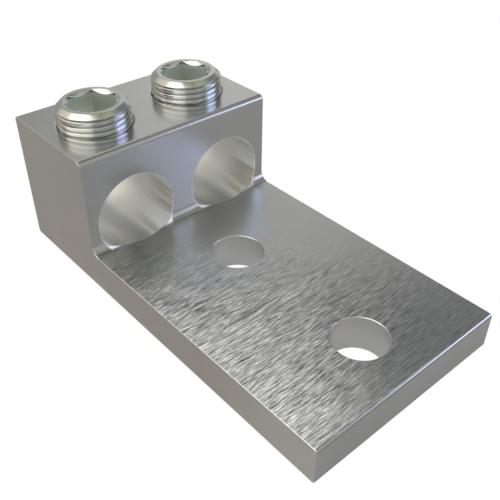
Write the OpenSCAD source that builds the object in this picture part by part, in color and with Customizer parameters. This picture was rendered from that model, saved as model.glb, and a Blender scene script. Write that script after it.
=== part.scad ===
// Mechanical lug for two conductors: a drilled block with a two-hole tongue in one piece,
// and a socket set screw over each conductor bore.
// The origin is the centre of the two bolt holes on the flat underside.
// +X points to the end of the tongue and +Z up. Left and right are as seen from the tongue.

/* [Body] */
// Width of the body, sawn from an extruded bar
body_w = 61.4; // [58:0.2:80]
// Length of the block along the conductors
block_l = 34.5; // [30:0.5:60]
// Height of the block above the underside
block_h = 38.95; // [35:0.05:50]
// Thickness of the tongue
tongue_t = 10.7; // [6:0.1:14]
// Radius of the inner corner where the tongue leaves the block
inner_corner_r = 3; // [1:0.1:6]
// Radius of the block's top front edge
front_edge_r = 1.5; // [0.5:0.1:4]
// Radius of the block's two back edges
back_edge_r = 0.9; // [0.3:0.1:3]
// Radius of the edges at the tongue's end
end_edge_r = 0.8; // [0.3:0.1:2.5]

/* [Bolt holes] */
// Distance between the two bolt holes
bolt_spacing = 44.45; // [30:0.05:60]
// Diameter of a bolt hole
bolt_hole_d = 14.3; // [10:0.1:18]
// Distance from the block's front face to the nearer bolt hole
bolt_setback = 24.15; // [16:0.05:40]
// Distance from the farther bolt hole to the tongue's end
end_distance = 15.9; // [12:0.1:30]
// Edge break on each rim of a bolt hole
bolt_rim_break = 0.25; // [0.1:0.05:1]

/* [Conductor bores] */
// Diameter of a conductor bore
bore_d = 24.25; // [18:0.05:26]
// Distance between the axes of the two bores
bore_pitch = 31.15; // [28:0.05:34]
// Height of the bore axes above the underside
bore_z = 17.65; // [15:0.05:20]
// Chamfer at the mouth where the conductor enters
bore_mouth_chamfer = 0.6; // [0.2:0.1:2]
// How far the full diameter of the drill runs past the block's front face
drill_overrun = 0.5; // [0.1:0.1:3]
// Angle of the drill point
drill_point_angle = 135; // [118:1:150]

/* [Set screws] */
// Diameter over the thread
screw_d = 20.5; // [18:0.1:22]
// Length of a set screw
screw_l = 15.45; // [12:0.05:24]
// Pitch of the thread
thread_pitch = 1.5875; // [1:0.0125:2.5]
// Width across the flats of the hexagon socket
socket_af = 12.7; // [6:0.1:12.8]
// Depth of the hexagon socket
socket_depth = 10; // [6:0.1:11]
// Depth of the shallow cone at the floor of the socket
socket_cone_h = 1.2; // [0.4:0.1:2]
// Width of the flat ring round the socket
face_ring_w = 1.2; // [0.6:0.1:2]
// Height of the chamfer round the top of a screw
head_chamfer_h = 1.6; // [0.8:0.1:2.5]
// Size of the chamfer round the tip of a screw
tip_chamfer = 1.4; // [0.6:0.1:2]
// Angle of one corner of the left socket from +X
left_socket_angle = 31.5; // [0:0.5:60]
// Angle of one corner of the right socket from +X
right_socket_angle = 32; // [0:0.5:60]
// Share of the pitch that the thread's flat crest takes
crest_share = 0.42; // [0.1:0.01:0.5]
// Share of the pitch that the thread's root takes
root_share = 0.04; // [0.02:0.01:0.3]
// Angle from +X at which the thread's helix starts
thread_start_angle = 98.5; // [0:0.5:360]
// Radial clearance between the thread and its hole
thread_clearance = 0.05; // [0.02:0.01:0.1]
// Chamfer at the top of a screw hole
screw_hole_chamfer = 0.65; // [0.1:0.05:1]
// Gap between the tip of a screw and the top of its bore, with the screw backed off
tip_gap = 0.05; // [0.05:0.05:1]

/* [Hidden] */
$fn = 96;
// Extra length of a cutter past the face that it opens
over = 1;
left = -1;
right = 1;
// Places along the body, from the origin between the bolt holes
front_x = -bolt_spacing / 2 - bolt_setback;
back_x = front_x - block_l;
end_x = bolt_spacing / 2 + end_distance;
screw_x = (front_x + back_x) / 2;
// Sizes of a bore
bore_r = bore_d / 2;
bore_top_z = bore_z + bore_r;
drill_point_h = bore_r / tan(drill_point_angle / 2);
// Sizes of a set screw
screw_r = screw_d / 2;
screw_tip_z = bore_top_z + tip_gap;
socket_corner_r = socket_af / 2 / cos(30);
countersink_r = socket_corner_r + 0.02;
face_r = countersink_r + face_ring_w;
// A 60 degree thread: its flanks share what the crest and the root leave of the pitch
flank_share = (1 - crest_share - root_share) / 2;
thread_depth = flank_share * thread_pitch * tan(60);
thread_profile = [
    [0, screw_r],
    [crest_share, screw_r],
    [crest_share + flank_share, screw_r - thread_depth],
    [1 - flank_share, screw_r - thread_depth]
];
thread_steps = 36;

// Waste outside a rounded corner, in the quarter that turn picks, with the arc's centre at the origin
module corner_waste(r, turn) {
    rotate(turn * 90)
        difference() {
            square(r + over);
            circle(r = r);
        }
}

// Outline of the bar from the side: the block, the tongue, and the web that fills their inner corner
module bar_outline() {
    difference() {
        union() {
            translate([back_x, 0]) square([block_l, block_h]);
            translate([back_x, 0]) square([end_x - back_x, tongue_t]);
            difference() {
                translate([front_x - over, tongue_t - over]) square(inner_corner_r + over);
                translate([front_x + inner_corner_r, tongue_t + inner_corner_r]) circle(r = inner_corner_r);
            }
        }
        translate([front_x - front_edge_r, block_h - front_edge_r]) corner_waste(front_edge_r, 0);
        translate([back_x + back_edge_r, block_h - back_edge_r]) corner_waste(back_edge_r, 1);
        translate([back_x + back_edge_r, back_edge_r]) corner_waste(back_edge_r, 2);
        translate([end_x - end_edge_r, end_edge_r]) corner_waste(end_edge_r, 3);
        translate([end_x - end_edge_r, tongue_t - end_edge_r]) corner_waste(end_edge_r, 0);
    }
}

// What the drill takes out from the back: a chamfered mouth, the full bore, and the point past the front
module conductor_bore(side) {
    mouth_r = bore_r + bore_mouth_chamfer;
    full_l = block_l + drill_overrun;
    translate([back_x, side * bore_pitch / 2, bore_z])
        rotate([0, 90, 0])
            rotate_extrude()
                polygon([
                    [0, -over],
                    [mouth_r + over, -over],
                    [bore_r, bore_mouth_chamfer],
                    [bore_r, full_l],
                    [0, full_l + drill_point_h]
                ]);
}

// Plain hole at the thread's outer diameter, from the top face down into the bore
module screw_hole(side) {
    hole_r = screw_r + thread_clearance;
    translate([screw_x, side * bore_pitch / 2, 0])
        rotate_extrude()
            polygon([
                [0, bore_z],
                [hole_r, bore_z],
                [hole_r, block_h - screw_hole_chamfer],
                [hole_r + screw_hole_chamfer + over, block_h + over],
                [0, block_h + over]
            ]);
}

// Bolt hole through the tongue, with both rims broken
module bolt_hole(x) {
    hole_r = bolt_hole_d / 2;
    translate([x, 0, 0])
        rotate_extrude()
            polygon([
                [0, -over],
                [hole_r + bolt_rim_break + over, -over],
                [hole_r, bolt_rim_break],
                [hole_r, tongue_t - bolt_rim_break],
                [hole_r + bolt_rim_break + over, tongue_t + over],
                [0, tongue_t + over]
            ]);
}

module body() {
    color([0.68, 0.68, 0.66])
        difference() {
            rotate([90, 0, 0])
                linear_extrude(body_w, center = true)
                    bar_outline();
            for (side = [left, right]) {
                conductor_bore(side);
                screw_hole(side);
            }
            for (x = [-bolt_spacing / 2, bolt_spacing / 2])
                bolt_hole(x);
        }
}

// Height and radius of point m of the thread's profile, which goes on round from one turn to the next
function thread_point(m, step) =
    let (
        p = thread_profile[m % len(thread_profile)],
        turns = floor(m / len(thread_profile)) + p[0] + step / thread_steps,
        angle = 360 * step / thread_steps
    )
    [p[1] * cos(angle), p[1] * sin(angle), turns * thread_pitch];

// Number of point m at a step, where one whole round leads to the point a turn higher
function thread_index(m, step) =
    step < thread_steps
        ? m * thread_steps + step
        : (m + len(thread_profile)) * thread_steps + step - thread_steps;

// Right-hand threaded bar of this many turns, its profile carried up a helix, with ramped ends
module threaded_bar(turns) {
    per_turn = len(thread_profile);
    rows = per_turn * turns;
    points = [
        for (m = [0 : rows + per_turn])
            for (step = [0 : thread_steps - 1])
                thread_point(m, step)
    ];
    low = len(points);
    high = low + 1;
    ends = [
        [0, 0, -thread_pitch],
        [0, 0, (turns + 2) * thread_pitch]
    ];
    wall = [
        for (m = [0 : rows - 1])
            for (step = [0 : thread_steps - 1])
                let (
                    a = thread_index(m, step),
                    b = thread_index(m, step + 1),
                    c = thread_index(m + 1, step + 1),
                    d = thread_index(m + 1, step)
                )
                each [[a, c, b], [a, d, c]]
    ];
    ramp_low = [
        for (step = [0 : thread_steps - 1])
            [thread_index(0, step), thread_index(0, step + 1), low]
    ];
    ramp_high = [
        for (step = [0 : thread_steps - 1])
            [thread_index(rows, step + 1), thread_index(rows, step), high]
    ];
    step_low = [
        for (m = [0 : per_turn - 1])
            [thread_index(m + 1, 0), thread_index(m, 0), low]
    ];
    step_high = [
        for (m = [rows : rows + per_turn - 1])
            [thread_index(m, 0), thread_index(m + 1, 0), high]
    ];
    polyhedron(
        points = concat(points, ends),
        faces = concat(wall, ramp_low, ramp_high, step_low, step_high)
    );
}

// Blank that the thread is cut on: flat tip and top face, each inside its chamfer
module screw_blank() {
    tip_face_r = screw_r - tip_chamfer;
    head_slope = (screw_r - face_r) / head_chamfer_h;
    rotate_extrude()
        polygon([
            [0, 0],
            [tip_face_r, 0],
            [screw_r + over, tip_chamfer + over],
            [screw_r + over, screw_l - head_chamfer_h - over / head_slope],
            [face_r, screw_l],
            [0, screw_l]
        ]);
}

// Hexagon socket, countersunk at the top and coned at the floor
module socket(angle) {
    floor_r = socket_af / 2;
    rotate(angle)
        translate([0, 0, screw_l - socket_depth])
            linear_extrude(socket_depth + over)
                circle(r = socket_corner_r, $fn = 6);
    translate([0, 0, screw_l - countersink_r])
        cylinder(h = countersink_r + over, r1 = 0, r2 = countersink_r + over);
    translate([0, 0, screw_l - socket_depth - socket_cone_h])
        cylinder(h = socket_cone_h, r1 = 0, r2 = floor_r);
}

module set_screw(side, angle) {
    turns = ceil(screw_l / thread_pitch) + 2;
    translate([screw_x, side * bore_pitch / 2, screw_tip_z])
        difference() {
            intersection() {
                translate([0, 0, -1.5 * thread_pitch])
                    rotate(thread_start_angle)
                        threaded_bar(turns);
                screw_blank();
            }
            socket(angle);
        }
}

module set_screw_left() {
    color([0.84, 0.84, 0.82]) set_screw(left, left_socket_angle);
}

module set_screw_right() {
    color([0.84, 0.84, 0.82]) set_screw(right, right_socket_angle);
}

body();
set_screw_left();
set_screw_right();
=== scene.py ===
import bmesh
import bpy
import numpy as np
from mathutils import Matrix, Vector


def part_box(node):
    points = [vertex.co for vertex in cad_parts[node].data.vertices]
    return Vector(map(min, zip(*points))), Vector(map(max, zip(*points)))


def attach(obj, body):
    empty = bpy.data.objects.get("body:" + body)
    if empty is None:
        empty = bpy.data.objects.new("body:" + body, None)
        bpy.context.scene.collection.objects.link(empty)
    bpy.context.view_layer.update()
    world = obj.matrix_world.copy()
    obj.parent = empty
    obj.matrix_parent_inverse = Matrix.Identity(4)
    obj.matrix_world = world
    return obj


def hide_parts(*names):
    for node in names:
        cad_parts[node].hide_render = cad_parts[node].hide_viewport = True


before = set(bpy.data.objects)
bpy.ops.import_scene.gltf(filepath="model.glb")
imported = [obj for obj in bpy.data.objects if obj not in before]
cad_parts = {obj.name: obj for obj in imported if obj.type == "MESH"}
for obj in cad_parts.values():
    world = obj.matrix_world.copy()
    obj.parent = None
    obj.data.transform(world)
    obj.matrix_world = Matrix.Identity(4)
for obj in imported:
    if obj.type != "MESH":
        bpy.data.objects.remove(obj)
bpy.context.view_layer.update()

mm = 0.001
scene = bpy.context.scene
scene.view_settings.view_transform = "Standard"

# Camera, where the photograph was taken from
view = {
    "place": (0.09153, -0.09631, 0.12402),   # metres from the centre of the bolt holes
    "azimuth": 138.431,                      # degrees from +X to the line of sight
    "down": 37.165,                          # degrees below level
    "roll": 0.486,
    "lens": 49.26,                           # millimetres, on a sensor 36 wide
    "sensor": 36.0,
    "near": 0.005, "far": 30,                # metres that it sees from and to
}


def directionOf(azimuth, elevation):
    # Unit vector: cos(el)cos(az), cos(el)sin(az), sin(el)
    az, el = np.radians(azimuth), np.radians(elevation)
    return np.array((np.cos(el) * np.cos(az), np.cos(el) * np.sin(az), np.sin(el)))


def facing(place, forward, roll=0.0):
    # Matrix of a camera or lamp at place that looks along forward, rolled about that line of sight
    right = np.cross(forward, (0, 0, 1))
    right = right / np.linalg.norm(right)
    up = np.cross(right, forward)
    c, s = np.cos(np.radians(roll)), np.sin(np.radians(roll))
    m = np.eye(4)
    m[:3, 0] = c * right + s * up
    m[:3, 1] = c * up - s * right
    m[:3, 2] = -forward
    m[:3, 3] = place
    return Matrix(m.tolist())


def makeCamera(v):
    # Camera at its place, looking along its azimuth and that many degrees down
    data = bpy.data.cameras.new("camera")
    data.sensor_width = v["sensor"]
    data.lens = v["lens"]
    data.clip_start = v["near"]
    data.clip_end = v["far"]
    camera = bpy.data.objects.new("camera", data)
    camera.matrix_world = facing(v["place"], directionOf(v["azimuth"], -v["down"]), v["roll"])
    scene.collection.objects.link(camera)
    scene.camera = camera


makeCamera(view)
print("camera set")


# Helpers that add shader nodes
def addNode(tree, kind, inputs=None, **settings):
    # One shader node; inputs holds a value or another node's output for each socket named or numbered
    n = tree.nodes.new(kind)
    for key, value in settings.items():
        setattr(n, key, value)
    for key, value in (inputs or {}).items():
        if isinstance(value, bpy.types.NodeSocket):
            tree.links.new(value, n.inputs[key])
        else:
            n.inputs[key].default_value = value
    return n


def maths(tree, how, a, b=0.0, c=0.0):
    # Output of one Math node on a, b and c
    return addNode(tree, "ShaderNodeMath", {0: a, 1: b, 2: c}, operation=how).outputs[0]


def between(tree, value, low, high):
    # 0 below low, 1 above high, and a smooth step from one to the other
    n = addNode(tree, "ShaderNodeMapRange", {"Value": value, "From Min": low, "From Max": high},
                interpolation_type="SMOOTHSTEP")
    return n.outputs["Result"]


def mixColours(tree, factor, a, b):
    # Colour a where factor is 0, b where it is 1
    n = addNode(tree, "ShaderNodeMix", data_type="RGBA")
    for socket, value in ((n.inputs[0], factor), (n.inputs[6], a), (n.inputs[7], b)):
        if isinstance(value, bpy.types.NodeSocket):
            tree.links.new(value, socket)
        else:
            socket.default_value = value
    return n.outputs[2]


def scaled(tree, colour, share):
    # The colour times the share
    return addNode(tree, "ShaderNodeVectorMath", {0: colour, "Scale": share}, operation="SCALE").outputs[0]


def newMaterial(name):
    # Empty node material of that name, and its node tree
    material = bpy.data.materials.new(name)
    material.use_nodes = True
    material.node_tree.nodes.clear()
    return material, material.node_tree


# Floor, world and lamps
stageSet = {
    "floorHalf": 6.0,                        # metres from the lug to the floor's edge
    "floorDrop": 0.0001,                     # below the lug's underside
    "floorColour": (0.265, 0.257, 0.250, 1),
    "cameraWhite": 0.88,                     # share of plain white that the camera sees on the floor
    "mirrorWhite": 0.22,                     # and that metal sees
    "whiteLevel": 1.10,                      # strength of that white
    "room": 0.45,                            # brightness of the room between its lamps
    "roomColour": (0.98, 1.0, 1.01),
}
glows = {                                    # round soft parts of the room, in degrees, added or taken away
    "backWall": {"azimuth": 138, "elevation": 22, "core": 4, "edge": 20,
                 "level": 0.38, "colour": (1.0, 0.985, 0.92)},
    "backLow": {"azimuth": 121, "elevation": 11, "core": 4, "edge": 20,
                "level": 0.28, "colour": (1, 1, 1)},
    "darkCorner": {"azimuth": 103, "elevation": 43, "core": 12, "edge": 35,
                   "level": -0.17, "colour": (1, 1, 1)},
    "ceiling": {"azimuth": 0, "elevation": 90, "core": 12, "edge": 28,
                "level": -0.26, "colour": (1, 1, 1)},
    "ceilingRight": {"azimuth": 18, "elevation": 60, "core": 10, "edge": 32,
                     "level": 0.12, "colour": (1, 1, -0.2)},
    "leftWall": {"azimuth": 232, "elevation": 31, "core": 10, "edge": 45,
                 "level": 0.62, "colour": (1.0, 0.9, 0.68)},
    "rightWall": {"azimuth": 20, "elevation": 21, "core": 12, "edge": 46,
                  "level": 0.34, "colour": (0.95, 0.98, 1.10)},
    "frontLow": {"azimuth": 0, "elevation": 4, "core": 6, "edge": 20,
                 "level": 1.1, "colour": (1, 1, 1)},
    "aboveFade": {"azimuth": -20, "elevation": 69, "core": 2, "edge": 9,
                  "level": 0.28, "colour": (1, 1, 1)},
    "backLeft": {"azimuth": 164, "elevation": 36, "core": 2, "edge": 14,
                 "level": 0.10, "colour": (1.0, 0.85, 0.5)},
    "windowSide": {"azimuth": -30, "elevation": 24, "core": 2, "edge": 24,
                   "level": 0.50, "colour": (1, 1.04, 1.04)},
}
lamps = {                                    # upright soft panels that face the lug, in degrees and metres
    "window": {"azimuth": -92, "away": 1.0, "wide": 1.47, "low": 0.14, "high": 3.60,
               "level": 2.1, "colour": (1.0, 0.99, 0.955)},
    "windowEdge": {"azimuth": -49, "away": 1.1, "wide": 0.27, "low": 0.40, "high": 3.40,
                   "level": 1.65, "colour": (1.0, 1.0, 0.98)},
    "windowFade": {"azimuth": -34, "away": 1.1, "wide": 0.31, "low": 1.10, "high": 3.05,
                   "level": 1.05, "colour": (1.0, 1.0, 1.0)},
    "rightPanel": {"azimuth": 57, "away": 1.0, "wide": 0.68, "low": 0.20, "high": 0.68,
                   "level": 3.0, "colour": (0.75, 0.88, 1.52)},
    "backPanel": {"azimuth": 153, "away": 1.0, "wide": 1.08, "low": 1.13, "high": 2.30,
                  "level": 1.0, "colour": (1.0, 0.99, 0.95)},
    "smallPanel": {"azimuth": 90, "away": 1.0, "wide": 0.48, "low": 1.20, "high": 1.85,
                   "level": 0.8, "colour": (0.90, 0.96, 1.22)},
}


def makeFloor(s):
    # Flat square just under the lug: white to camera and mirror rays, and darker where the lug shades it
    h, z = s["floorHalf"], -s["floorDrop"]
    mesh = bpy.data.meshes.new("floor")
    mesh.from_pydata([(-h, -h, z), (h, -h, z), (h, h, z), (-h, h, z)], [], [(0, 1, 2, 3)])
    floor = bpy.data.objects.new("floor", mesh)
    scene.collection.objects.link(floor)
    material, tree = newMaterial("paleFloor")
    ray = addNode(tree, "ShaderNodeLightPath")
    mirror = maths(tree, "MAXIMUM", ray.outputs["Is Glossy Ray"], ray.outputs["Is Transmission Ray"])
    share = maths(tree, "MAXIMUM",
                  maths(tree, "MULTIPLY", ray.outputs["Is Camera Ray"], s["cameraWhite"]),
                  maths(tree, "MULTIPLY", mirror, s["mirrorWhite"]))
    matt = addNode(tree, "ShaderNodeBsdfDiffuse", {"Color": s["floorColour"]})
    white = addNode(tree, "ShaderNodeEmission", {"Color": (1, 1, 1, 1), "Strength": s["whiteLevel"]})
    both = addNode(tree, "ShaderNodeMixShader", {0: share, 1: matt.outputs[0], 2: white.outputs[0]})
    addNode(tree, "ShaderNodeOutputMaterial", {"Surface": both.outputs[0]})
    mesh.materials.append(material)


def alignment(tree, direction, azimuth, elevation):
    # Cosine of the angle between the direction and the one given
    towards = directionOf(azimuth, elevation)
    return addNode(tree, "ShaderNodeVectorMath", {0: direction, 1: tuple(towards)},
                   operation="DOT_PRODUCT").outputs["Value"]


def makeWorld(s, parts):
    # Plain grey room: its own light, plus each glow's light times a smooth step from its edge to its core
    world = bpy.data.worlds.new("studio")
    scene.world = world
    world.use_nodes = True
    tree = world.node_tree
    tree.nodes.clear()
    direction = addNode(tree, "ShaderNodeTexCoord").outputs["Generated"]
    light = tuple(np.array(s["roomColour"]) * s["room"])
    for g in parts.values():
        nearness = alignment(tree, direction, g["azimuth"], g["elevation"])
        share = between(tree, nearness, np.cos(np.radians(g["edge"])), np.cos(np.radians(g["core"])))
        extra = scaled(tree, tuple(np.array(g["colour"]) * g["level"]), share)
        light = addNode(tree, "ShaderNodeVectorMath", {0: light, 1: extra}, operation="ADD").outputs[0]
    sky = addNode(tree, "ShaderNodeBackground", {"Color": light})
    addNode(tree, "ShaderNodeOutputWorld", {"Surface": sky.outputs[0]})


def makeLamp(name, p):
    # Upright soft panel whose surface is level times white, so its power is level x area x pi
    tall = p["high"] - p["low"]
    data = bpy.data.lights.new(name, "AREA")
    data.shape = "RECTANGLE"
    data.size, data.size_y = p["wide"], tall
    data.energy = p["level"] * p["wide"] * tall * np.pi
    data.color = p["colour"]
    lamp = bpy.data.objects.new(name, data)
    towards = directionOf(p["azimuth"], 0)
    middle = np.array((0, 0, (p["low"] + p["high"]) / 2))
    lamp.matrix_world = facing(towards * p["away"] + middle, -towards)
    lamp.visible_camera = False
    scene.collection.objects.link(lamp)


makeFloor(stageSet)
makeWorld(stageSet, glows)
for name, panel in lamps.items():
    makeLamp(name, panel)
print("floor, world and lamps set")

# Lug body: the CAD solid with its edges broken and a plated finish with painted light and shade
lug = {
    "edgeBreak": 0.22,                       # millimetres
    "edgeSteps": 3,
    "sharpOver": 50,                         # degrees between faces
    "weldWithin": 0.001, "flatWithin": 0.5,  # millimetres and degrees
    "faceWeight": 50,                        # how far the larger faces govern the shading
    "squarely": (0.85, 0.97),                # part of a normal along an axis, to count as facing so
    "top": (0.50, 0.50, 0.485, 1),
    # painted shade on the side faces: a warmer, slightly darker copy of the plating
    "side": (0.50, 0.475, 0.436, 1),
    "sideLitEnd": (0.60, 0.578, 0.545, 1),      # painted light: the sides paler at the tongue's end
    "sideLightTurn": (0.0, 0.032),                # metres along X over which the one becomes the other
    # painted light in the bores: the plating far paler than elsewhere, so their shaded insides show bright
    "bore": (0.92, 0.925, 0.905, 1),
    # painted shade: the bore darker deeper in
    "boreDeepShade": (0.84, 0.835, 0.80, 1),
    "shadeDeepAlong": (-50.0, -62.0),             # millimetres along X, from none of that painted shade to all
    # painted light: the bore's roof paler and bluer
    "boreRoofLight": (0.94, 0.97, 1.0, 1),
    "roofUp": (3.0, 8.0),                    # millimetres above the bore's axis, from none of it to all
    "boreReflectionBand": (0.60, 0.57, 0.50, 1),       # painted reflection bands drawn out along the bore
    "bandAlong": 18.0, "bandAcross": 210.0,  # cells of their noise, a metre
    "bandEdges": (0.44, 0.62),               # values of that noise, from no painted band to a full one
    # painted light on the bolt holes' walls, paler than the plating elsewhere
    "hole": (0.80, 0.80, 0.79, 1),
    "corner": (0.35, 0.335, 0.305, 1),       # painted shade on the rounded corners that face front and up, dulling their highlight
    "shadedCornerShare": (0.12, 0.32),             # product of a normal's X and Z there
    "roughTop": 0.21, "roughTongue": 0.15, "roughFront": 0.24, "roughSide": 0.34, "roughBore": 0.60,
    "roughHole": 0.30, "roughSmooth": 0.33,  # the last is the tongue's where the die lines have faded
    "cloud": 0.05,                           # how far the plating's colour wanders, as a share
    "cloudCells": 90.0,                      # a metre
    "grainAcross": 4900.0,                   # die lines a metre along X
    "grainAlong": 320.0,                     # and along Y, so each is a few millimetres long
    "grainTurns": (1.0, 6.0, -6.0),          # degrees that the sets of lines lean
    "grainContrast": 9.5, "grainTint": 0.90,
    "grainLean": 1.1,
    "grainFade": (-0.046, 0.024),            # metres of x - lean y, from no lines to all, front left
    "wornLean": 0.35, "wornShare": 0.62,
    "grainWorn": (0.018, 0.038),             # metres of x + lean y, from none worn off to that share
    "grainHeight": 0.075,                    # millimetres, on the tongue's top
    "faintGrain": 0.01,                      # share of it on the block
    "drillRings": 1600.0, "drillRound": 60.0,   # a metre along the bore, and across it
    "drillHeight": 0.006,                    # millimetres, and so are all that follow
    "boreY": 15.575, "boreZ": 17.65, "boreRadius": 12.125,
    "boreMargin": (0.225, 0.075),            # past a bore's wall, where its finish ends
    "boreFront": (-40.0, -40.1),             # along X, where it begins
    "holeX": 22.225, "holeRadius": 7.15,
    "holeMargin": (0.15, 0.05),              # past a bolt hole's wall, where its finish ends
    "tongueTop": (11.3, 10.9),               # just above the tongue's top, where its finish begins
}


def breakEdges(body, p):
    # Joins the loose triangles, clears the flat faces, and rounds every edge sharper than the limit
    weld = body.modifiers.new("weld", "WELD")
    weld.merge_threshold = p["weldWithin"] * mm
    flat = body.modifiers.new("flat", "DECIMATE")
    flat.decimate_type = "DISSOLVE"
    flat.angle_limit = np.radians(p["flatWithin"])
    bevel = body.modifiers.new("edges", "BEVEL")
    bevel.width = p["edgeBreak"] * mm
    bevel.segments = p["edgeSteps"]
    bevel.limit_method = "ANGLE"
    bevel.angle_limit = np.radians(p["sharpOver"])
    normals = body.modifiers.new("normals", "WEIGHTED_NORMAL")
    normals.mode = "FACE_AREA"
    normals.weight = p["faceWeight"]


def stretchedNoise(tree, place, scale, turn=0.0, detail=3.0):
    # Noise whose cells are drawn out: scale is cells a metre along each axis, turned about Z
    turned = (0, 0, np.radians(turn))
    space = addNode(tree, "ShaderNodeMapping", {"Vector": place, "Rotation": turned, "Scale": scale})
    noise = {"Vector": space.outputs[0], "Scale": 1.0, "Detail": detail, "Roughness": 0.55}
    return addNode(tree, "ShaderNodeTexNoise", noise).outputs["Fac"]


def fromAxis(tree, a, b, atA, atB):
    # Distance from the line where a is plus or minus atA and b is atB: the root of the sum of the squares
    # of both offsets
    offA = maths(tree, "SUBTRACT", maths(tree, "ABSOLUTE", a), atA)
    offB = maths(tree, "SUBTRACT", b, atB)
    return maths(tree, "SQRT", maths(tree, "ADD", maths(tree, "MULTIPLY", offA, offA),
                                     maths(tree, "MULTIPLY", offB, offB)))


def platedFinish(p):
    # Die lines on the tongue's top, drill rings in the bores, and a tone for each way a face looks, with
    # painted light and shade on the sides, corners, bores and bolt holes: each share is a smooth step of the
    # place or the normal, and mixes in its colour and roughness
    material, tree = newMaterial("platedBody")
    where = addNode(tree, "ShaderNodeTexCoord")
    place = where.outputs["Object"]
    x, y, z = addNode(tree, "ShaderNodeSeparateXYZ", {0: place}).outputs
    nx, ny, nz = addNode(tree, "ShaderNodeSeparateXYZ", {0: where.outputs["Normal"]}).outputs
    isUp = between(tree, nz, *p["squarely"])
    isSide = between(tree, maths(tree, "ABSOLUTE", ny), *p["squarely"])
    isShadedCorner = between(tree, maths(tree, "MULTIPLY", nx, nz), *p["shadedCornerShare"])
    isTongue = between(tree, z, *(up * mm for up in p["tongueTop"]))
    brushed = maths(tree, "MULTIPLY", isUp, isTongue)
    fromBore = fromAxis(tree, y, z, p["boreY"] * mm, p["boreZ"] * mm)
    isBore = between(tree, fromBore, *((p["boreRadius"] + past) * mm for past in p["boreMargin"]))
    isBore = maths(tree, "MULTIPLY", isBore, between(tree, x, *(along * mm for along in p["boreFront"])))
    isBore = maths(tree, "MULTIPLY", isBore, maths(tree, "SUBTRACT", 1.0, brushed))
    fromHole = fromAxis(tree, x, y, p["holeX"] * mm, 0.0)
    isHole = between(tree, fromHole, *((p["holeRadius"] + past) * mm for past in p["holeMargin"]))

    lines = 0.0
    for turn in p["grainTurns"]:
        grain = stretchedNoise(tree, place, (p["grainAcross"], p["grainAlong"], p["grainAlong"]), turn)
        lines = maths(tree, "MULTIPLY_ADD", grain, 1 / len(p["grainTurns"]), lines)
    diagonal = maths(tree, "MULTIPLY_ADD", y, -p["grainLean"], x)
    fade = between(tree, diagonal, *p["grainFade"])
    worn = between(tree, maths(tree, "MULTIPLY_ADD", y, p["wornLean"], x), *p["grainWorn"])
    unworn = maths(tree, "MULTIPLY_ADD", worn, -p["wornShare"], 1.0)
    amount = maths(tree, "MULTIPLY", brushed, maths(tree, "MULTIPLY", fade, unworn))
    contrast = maths(tree, "MULTIPLY", maths(tree, "SUBTRACT", lines, 0.5), p["grainContrast"])
    contrast = maths(tree, "MAXIMUM", maths(tree, "MINIMUM", contrast, 1.0), -1.0)
    tint = maths(tree, "MULTIPLY", maths(tree, "MULTIPLY", contrast, amount), p["grainTint"])
    amount = maths(tree, "MULTIPLY_ADD", amount, 1 - p["faintGrain"], p["faintGrain"])
    rings = stretchedNoise(tree, place, (p["drillRings"], p["drillRound"], p["drillRound"]))
    rings = maths(tree, "MULTIPLY", rings, isBore)
    height = maths(tree, "MULTIPLY", maths(tree, "MULTIPLY", lines, amount), p["grainHeight"] * mm)
    height = maths(tree, "MULTIPLY_ADD", rings, p["drillHeight"] * mm, height)
    bump = addNode(tree, "ShaderNodeBump", {"Height": height, "Strength": 1.0, "Distance": 1.0})

    cloud = stretchedNoise(tree, place, (p["cloudCells"],) * 3, detail=2.0)
    # Painted shade and light: the side faces take a warmer, darker copy of the plating that pales towards
    # the tongue's end
    sidePaintedTone = mixColours(tree, between(tree, x, *p["sideLightTurn"]), p["side"], p["sideLitEnd"])
    colour = mixColours(tree, isSide, p["top"], sidePaintedTone)
    # Painted shade: darker rounded edges and fillet where they face front and up
    colour = mixColours(tree, isShadedCorner, colour, p["corner"])
    # Painted reflection: soft dark bands drawn out along the bore
    reflectionBands = stretchedNoise(tree, place, (p["bandAlong"], p["bandAcross"], p["bandAcross"]))
    drilled = mixColours(tree, between(tree, reflectionBands, *p["bandEdges"]), p["bore"], p["boreReflectionBand"])
    # Painted shade: the bore darker deeper in
    deep = between(tree, x, *(along * mm for along in p["shadeDeepAlong"]))
    drilled = mixColours(tree, deep, drilled, p["boreDeepShade"])
    # Painted light: the bore's roof paler and bluer
    roofLight = between(tree, z, *((p["boreZ"] + up) * mm for up in p["roofUp"]))
    # Painted light: the bores take their own much paler copy of the plating
    colour = mixColours(tree, isBore, colour, mixColours(tree, roofLight, drilled, p["boreRoofLight"]))
    # Painted light: the bolt holes' walls paler than the plating
    colour = mixColours(tree, isHole, colour, p["hole"])
    shade = maths(tree, "MULTIPLY_ADD", cloud, 2 * p["cloud"], 1 - p["cloud"])
    colour = scaled(tree, colour, maths(tree, "ADD", shade, tint))
    rough = p["roughFront"]
    tongueRough = maths(tree, "MULTIPLY_ADD", fade, p["roughTongue"] - p["roughSmooth"], p["roughSmooth"])
    for share, there in ((isUp, p["roughTop"]), (brushed, tongueRough), (isSide, p["roughSide"]),
                         (isBore, p["roughBore"]), (isHole, p["roughHole"])):
        rough = addNode(tree, "ShaderNodeMix", {0: share, 2: rough, 3: there}).outputs[0]
    metal = {"Base Color": colour, "Metallic": 1.0, "Roughness": rough, "Normal": bump.outputs[0]}
    shader = addNode(tree, "ShaderNodeBsdfPrincipled", metal)
    addNode(tree, "ShaderNodeOutputMaterial", {"Surface": shader.outputs[0]})
    return material


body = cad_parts["body"]
breakEdges(body, lug)
body.material_slots[0].material = platedFinish(lug)
print("lug body finished")

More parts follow.
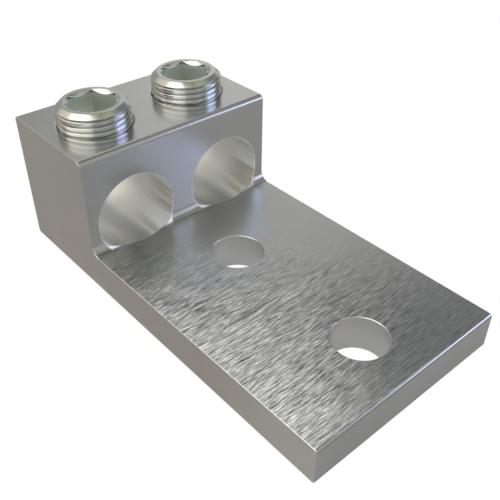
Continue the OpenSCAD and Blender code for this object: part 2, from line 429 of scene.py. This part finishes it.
# Set screws and the tapped threads that they run in
screw = {                                    # millimetres
    "radius": 10.25, "pitch": 1.5875, "depth": 0.742,
    "crest": 0.42, "root": 0.04,             # shares of the pitch
    "knee": 0.13,                            # share of a flank over which its corner is rounded
    "kneeRows": 7, "kneeReach": 1.5,         # rows of the mesh at a corner, and knees to each side
    "startAngle": 98.5, "startTurns": 1.5,   # where the helix begins, before the tip
    "tipFace": 8.85, "tipRings": (0, 3, 6, 8.7),
    "ring": 8.55, "headChamfer": 1.6,
    "countersink": 7.352, "hexFlat": 6.35, "socketDeep": 10.0, "socketCone": 1.2,
    "headEdge": 0.18, "headRows": 5,         # rounded edge between the chamfer and the ring
    "fineEdge": 0.06, "fineRows": 4,         # and the countersink's
    "socketRows": 8, "coneRows": 7,
    "socketFrom": 0.12,                      # share of the socket's depth at the first of its rows
    "searchRows": 800,                       # heights tried for where the chamfer leaves the thread
    "searchFrom": 0.12, "searchPast": 0.1,   # from so far below the top to so far below the chamfer
    "columns": 192,
    "leftCorner": 31.5, "rightCorner": 32.0,   # degrees from +X to a corner of the socket
    "axisX": -63.625, "axisY": 15.575,
    "outside": (0.53, 0.535, 0.51, 1),
    # painted light down in the socket: a paler, greener copy of the plating
    "inside": (0.70, 0.73, 0.67, 1),
    "insideBelow": (0.8, 1.1),               # below the top, where that colour begins
    "insideMargin": (0.02, -0.03),           # past the countersink's radius, where it ends
    # painted light: the tip, down in the hole, far paler than the rest of the plating
    "tip": (0.92, 0.92, 0.90, 1),
    "tipLitBand": (0.3, 0.15),                  # above the tip, from none of that painted light to all
    "roughOutside": 0.18, "roughInside": 0.40,
}
tapped = {                                   # millimetres
    "gap": 0.045,                            # between the screw's thread and the hole's
    "root": 10.275, "outer": 10.45,          # radii of the thread's root and of the sleeve's outer wall
    "holeRadius": 10.3, "rimRadius": 10.92,
    "rimShallow": 0.05, "rimDeep": 0.45,     # depths of the countersink on its two sides
    "deepAt": 100,                           # degrees from +X to the deep one
    "leadIn": 2.0,                           # slope of the thread's cleared end at the bore
    "aboveBore": 0.02, "belowTop": 0.004,    # clearances from the body's faces
    "rimFoot": 0.75, "outerFrom": 0.8,       # how far down the wide rim ends and the thin wall begins
    "columns": 144,
}
meshing = {
    "merge": 0.003, "thin": 0.0002,          # millimetres
    "sharpOver": 38,                         # degrees between faces
    "bendShare": 0.45,                       # most of a side that a rounded corner may take
}


def smoothAbove(t, knee):
    # The larger of t and 0, with the corner between them rounded over the knee
    h = np.clip(knee - np.abs(t), 0, None) / knee
    return np.maximum(t, 0) + h * h * knee / 4


def threadRadius(turn, p):
    # Triangle wave of the turn, clipped flat at the crest and the root, with rounded knees
    off = np.abs((turn - p["crest"] / 2 + 0.5) % 1 - 0.5)
    flank = (1 - p["crest"] - p["root"]) / 2
    down = (off - p["crest"] / 2) / flank
    down = 1 - smoothAbove(1 - smoothAbove(down, p["knee"]), p["knee"])
    return p["radius"] - p["depth"] * down


def turnAt(p, angles, heights, tip):
    # How many turns of the thread lie below each height, at each angle
    lag = (angles - np.radians(p["startAngle"])) / (2 * np.pi)
    return (heights - tip) / p["pitch"] + p["startTurns"] - lag


def threadRows(p, angles, low, high, tip):
    # Rows that climb with the helix, several round each corner of the thread's section, held between low
    # and high; gives their heights and the thread's radius there
    flank = (1 - p["crest"] - p["root"]) / 2
    corners = np.array((0, p["crest"], p["crest"] + flank, 1 - flank))
    reach = p["kneeReach"]
    fractions = (corners[:, None] + flank * p["knee"] * np.linspace(-reach, reach, p["kneeRows"])).ravel()
    first = np.floor(turnAt(p, angles, low, tip).min()) - 1
    last = np.ceil(turnAt(p, angles, high, tip).max())
    whole = np.arange(first, last + 1)
    turns = np.sort((whole[:, None] + fractions).ravel())[:, None]
    heights = np.clip(tip + (turns - turnAt(p, angles, tip, tip)) * p["pitch"], low, high)
    return heights, threadRadius(turnAt(p, angles, heights, tip), p)


def bend(before, corner, after, size, steps):
    # Points of a quadratic curve that rounds a corner of the section, from size before it to size after it,
    # or from just short of the middle of a short side
    most = meshing["bendShare"]
    back, on = before - corner, after - corner
    start = corner + back * np.minimum(size / np.maximum(np.hypot(*back), 1e-9), most)
    end = corner + on * np.minimum(size / np.maximum(np.hypot(*on), 1e-9), most)
    return [(1 - t) ** 2 * start + 2 * t * (1 - t) * corner + t ** 2 * end for t in np.linspace(0, 1, steps)]


def spun(name, radii, heights, angles, centre, closeLoop=False):
    # Mesh of rows about the vertical through centre: x is the centre's plus the radius times the cosine of
    # the angle, and y the same with the sine
    x = centre[0] + radii * np.cos(angles)
    y = centre[1] + radii * np.sin(angles)
    points = np.stack((x, y, heights), axis=-1).reshape(-1, 3) * mm
    rows, columns = radii.shape
    index = np.arange(rows * columns).reshape(rows, columns)
    if closeLoop:
        index = np.vstack((index, index[:1]))
    a, b, c, d = index[:-1, :-1], index[:-1, 1:], index[1:, 1:], index[1:, :-1]
    faces = np.stack((a, b, c, d), axis=-1).reshape(-1, 4)
    mesh = bpy.data.meshes.new(name)
    mesh.from_pydata(points.tolist(), [], faces.tolist())
    work = bmesh.new()
    work.from_mesh(mesh)
    bmesh.ops.remove_doubles(work, verts=work.verts, dist=meshing["merge"] * mm)
    bmesh.ops.dissolve_degenerate(work, edges=work.edges, dist=meshing["thin"] * mm)
    bmesh.ops.recalc_face_normals(work, faces=work.faces)
    work.to_mesh(mesh)
    work.free()
    mesh.shade_smooth()
    mesh.set_sharp_from_angle(angle=np.radians(meshing["sharpOver"]))
    made = bpy.data.objects.new(name, mesh)
    scene.collection.objects.link(made)
    return made


def makeScrew(name, node, corner, p):
    # Tip disc, helical thread cut by both chamfers, flat ring, and countersunk hexagon socket with a coned
    # floor, as rows of radius and height; a hexagon's radius is half its width over the cosine of the angle
    # from the middle of a flat
    low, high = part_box(node)
    centre = np.array(((low.x + high.x) / 2, (low.y + high.y) / 2)) / mm
    tip, top = low.z / mm, high.z / mm
    angles = np.linspace(0, 2 * np.pi, p["columns"] + 1) + np.radians(corner)
    flat = np.ones_like(angles)
    side = (angles - np.radians(corner)) % (np.pi / 3) - np.pi / 6
    hexR = p["hexFlat"] / np.cos(side)
    slope = (p["radius"] - p["ring"]) / p["headChamfer"]
    lowest, highest = top - p["headChamfer"] - p["searchPast"], top - p["searchFrom"]
    levels = np.linspace(lowest, highest, p["searchRows"])[:, None]
    clear = threadRadius(turnAt(p, angles, levels, tip), p) < p["ring"] + (top - levels) * slope
    meets = levels[p["searchRows"] - 1 - clear[::-1].argmax(axis=0), 0]
    heights, radii = threadRows(p, angles, flat * tip, meets, tip)
    radii = np.minimum(radii, p["ring"] + (top - heights) * slope)
    radii = np.minimum(radii, p["tipFace"] + heights - tip)
    outer = np.stack((p["ring"] + slope * (top - meets), meets))
    ring = np.stack((p["ring"] * flat, top * flat))
    lip = np.stack((p["countersink"] * flat, top * flat))
    scallop = np.stack((hexR, top - (p["countersink"] - hexR)))
    floor = np.stack((hexR, (top - p["socketDeep"]) * flat))
    cone = np.stack((p["hexFlat"] * flat, (top - p["socketDeep"]) * flat))
    centreLow = np.stack((0 * flat, (top - p["socketDeep"] - p["socketCone"]) * flat))
    section = bend(outer, ring, lip, p["headEdge"], p["headRows"])
    section += bend(ring, lip, scallop, p["fineEdge"], p["fineRows"])
    section += bend(lip, scallop, floor, p["fineEdge"], p["fineRows"])
    downWall = np.linspace(p["socketFrom"], 1, p["socketRows"])
    section += [scallop + (floor - scallop) * t for t in downWall]
    section += [cone + (centreLow - cone) * t for t in np.linspace(0, 1, p["coneRows"])]
    inside = np.array(section)
    tipRows = np.array([np.stack((r * flat, tip * flat)) for r in p["tipRings"]])
    allR = np.vstack((tipRows[:, 0], radii, inside[:, 0]))
    allZ = np.vstack((tipRows[:, 1], heights, inside[:, 1]))
    made = spun(name, allR, allZ, angles, centre)
    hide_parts(node)
    return made


def makeTapped(name, node, p, t):
    # Sleeve in the lug: its inner wall is the screw's thread set back by the gap. It reaches up to the
    # countersink from the bore, which stands over its axis by the root of its radius squared less the
    # offset squared
    low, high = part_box(node)
    centre = np.array(((low.x + high.x) / 2, (low.y + high.y) / 2)) / mm
    tip = low.z / mm
    angles = np.linspace(0, 2 * np.pi, t["columns"] + 1)
    flat = np.ones_like(angles)
    innermost = p["radius"] - p["depth"] + t["gap"]
    offset = innermost * np.sin(angles)
    bore = lug["boreZ"] + np.sqrt(lug["boreRadius"] ** 2 - offset ** 2) + t["aboveBore"]
    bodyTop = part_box("body")[1].z / mm
    share = (1 + np.cos(angles - np.radians(t["deepAt"]))) / 2
    rim = bodyTop - t["rimShallow"] - (t["rimDeep"] - t["rimShallow"]) * share
    heights, radii = threadRows(p, angles, bore, rim, tip)
    radii = np.minimum(radii + t["gap"], t["root"])
    radii = np.maximum(radii, t["holeRadius"] - (rim - heights))
    radii = np.maximum(radii, t["holeRadius"] - (heights - bore) * t["leadIn"])
    wall = np.array([np.stack((t["rimRadius"] * flat, (bodyTop - t["belowTop"]) * flat)),
                     np.stack((t["rimRadius"] * flat, (bodyTop - t["rimFoot"]) * flat)),
                     np.stack((t["outer"] * flat, (bodyTop - t["outerFrom"]) * flat)),
                     np.stack((t["outer"] * flat, bore))])
    allR = np.vstack((radii, wall[:, 0]))
    allZ = np.vstack((heights, wall[:, 1]))
    made = spun(name, allR, allZ, angles, centre, closeLoop=True)
    return made


def screwFinish(p):
    # Bright plating with painted light: paler and greener down in the socket, and paler on the tip, by
    # smooth steps of the place
    material, tree = newMaterial("platedScrew")
    where = addNode(tree, "ShaderNodeTexCoord")
    place = where.outputs["Object"]
    x, y, z = addNode(tree, "ShaderNodeSeparateXYZ", {0: place}).outputs
    low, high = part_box("set_screw_left")
    reach = fromAxis(tree, y, x, p["axisY"] * mm, p["axisX"] * mm)
    litSocket = between(tree, reach, *((p["countersink"] + past) * mm for past in p["insideMargin"]))
    deep = between(tree, z, *(high.z - down * mm for down in p["insideBelow"]))
    litSocket = maths(tree, "MULTIPLY", litSocket, deep)
    # Painted light: paler and greener down in the socket
    colour = mixColours(tree, litSocket, p["outside"], p["inside"])
    # Painted light: the tip paler
    litTip = between(tree, z, *(low.z + up * mm for up in p["tipLitBand"]))
    colour = mixColours(tree, litTip, colour, p["tip"])
    rough = maths(tree, "MULTIPLY_ADD", litSocket, p["roughInside"] - p["roughOutside"], p["roughOutside"])
    metal = {"Base Color": colour, "Metallic": 1.0, "Roughness": rough}
    shader = addNode(tree, "ShaderNodeBsdfPrincipled", metal)
    addNode(tree, "ShaderNodeOutputMaterial", {"Surface": shader.outputs[0]})
    return material


screwMaterial = screwFinish(screw)
for side in ("left", "right"):
    node = "set_screw_" + side
    made = makeScrew(side + "Screw", node, screw[side + "Corner"], screw)
    made.data.materials.append(screwMaterial)
    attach(made, side + "_screw")
    sleeve = makeTapped(side + "TappedThread", node, screw, tapped)
    sleeve.data.materials.append(body.material_slots[0].material)
    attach(sleeve, "lug_body")
print("screws and tapped threads made")
